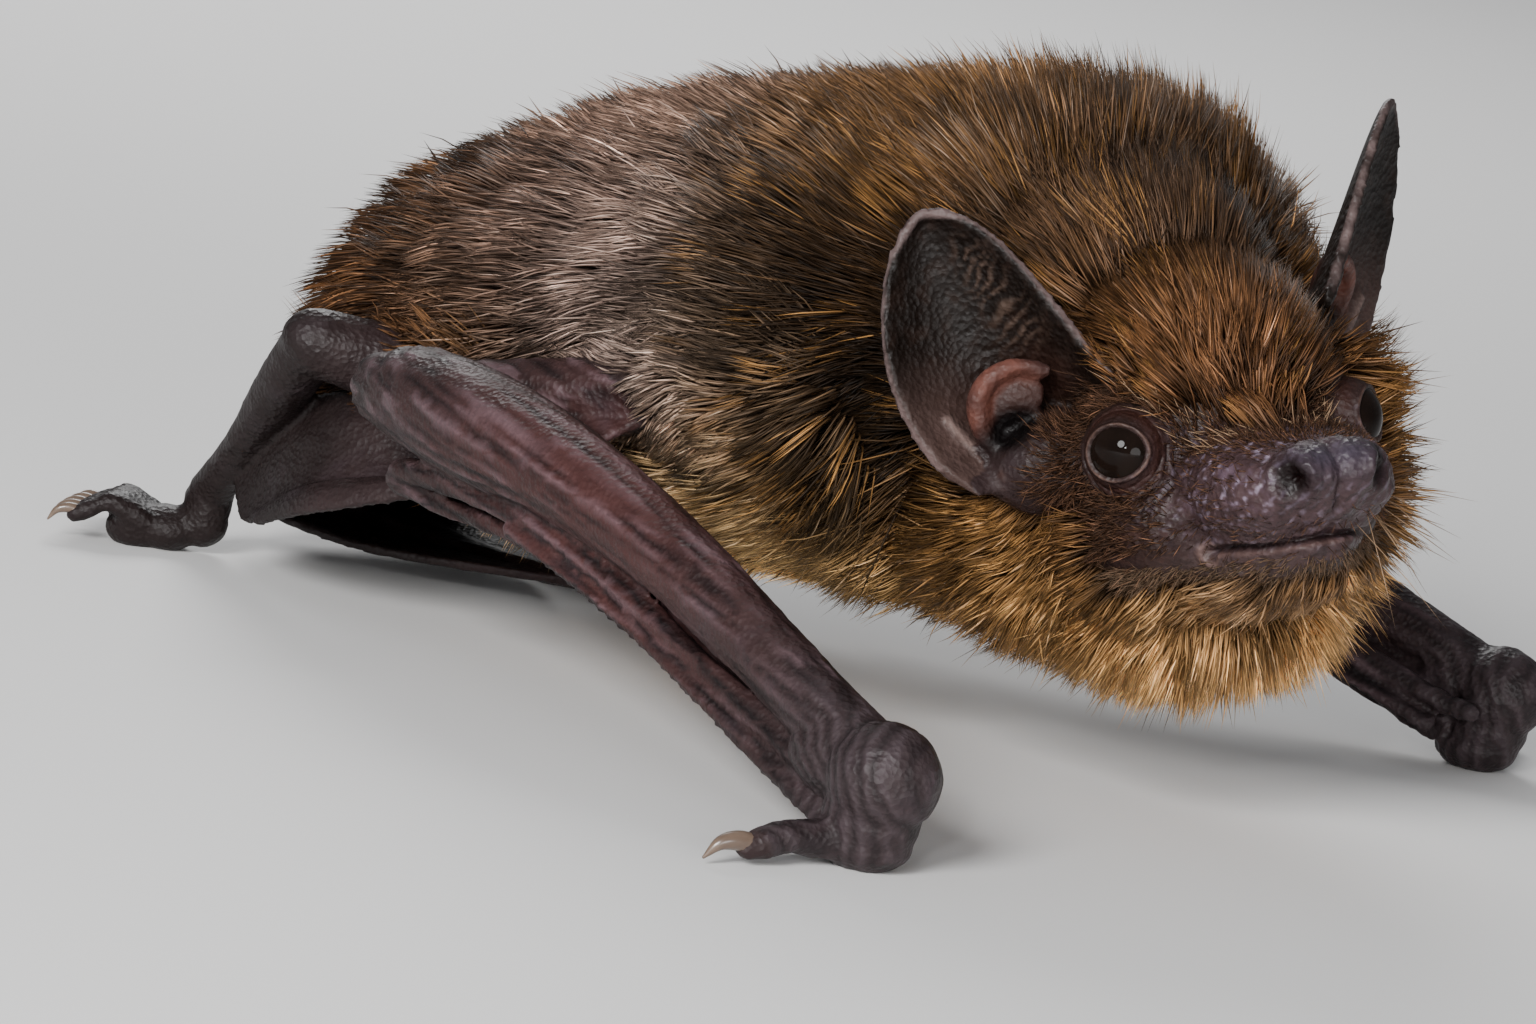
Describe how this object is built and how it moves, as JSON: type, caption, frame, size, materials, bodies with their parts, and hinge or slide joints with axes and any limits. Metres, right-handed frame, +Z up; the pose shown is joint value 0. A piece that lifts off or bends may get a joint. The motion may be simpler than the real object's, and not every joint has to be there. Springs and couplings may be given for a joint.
{
  "type": "wild bat animal",
  "caption": "Life-size crouching bat with folded wings, furred body and turned head; a still display model that rests on its wrists and feet.",
  "frame": {"origin": "on the floor under the middle of the whole animal's bounding box", "axes": "+X towards the bat's front, +Y to its left, +Z up"},
  "size_m": [0.0669, 0.0572, 0.0284],
  "materials": {
    "fur": "matte brown fur",
    "skin": "satin dark bare skin",
    "inner_ear": "satin pink skin",
    "horn": "satin claw horn",
    "eyeball": "wet black"
  },
  "bodies": {
    "root": {"abdomen": "fur", "arm_membrane_L": "skin", "arm_membrane_R": "skin", "digit_3_L": "skin", "digit_3_R": "skin", "digit_4_L": "skin", "digit_4_R": "skin", "digit_5_L": "skin", "digit_5_R": "skin", "ear_L": "skin", "ear_R": "skin", "eye_L": "eyeball", "eye_R": "eyeball", "foot_L": "skin", "foot_R": "skin", "forearm_L": "skin", "forearm_R": "skin", "hand_membrane_L": "skin", "hand_membrane_R": "skin", "head": "fur", "lower_jaw": "fur", "neck": "fur", "shank_L": "skin", "shank_R": "skin", "side_membrane_L": "skin", "side_membrane_R": "skin", "tail": "skin", "tail_membrane_L": "skin", "tail_membrane_R": "skin", "thigh_L": "skin", "thigh_R": "skin", "thorax": "fur", "thumb_claw_L": "horn", "thumb_claw_R": "horn", "thumb_L": "skin", "thumb_R": "skin", "tragus_L": "inner_ear", "tragus_R": "inner_ear", "upper_arm_L": "skin", "upper_arm_R": "skin", "wrist_L": "skin", "wrist_R": "skin"}
  },
  "joints": []
}
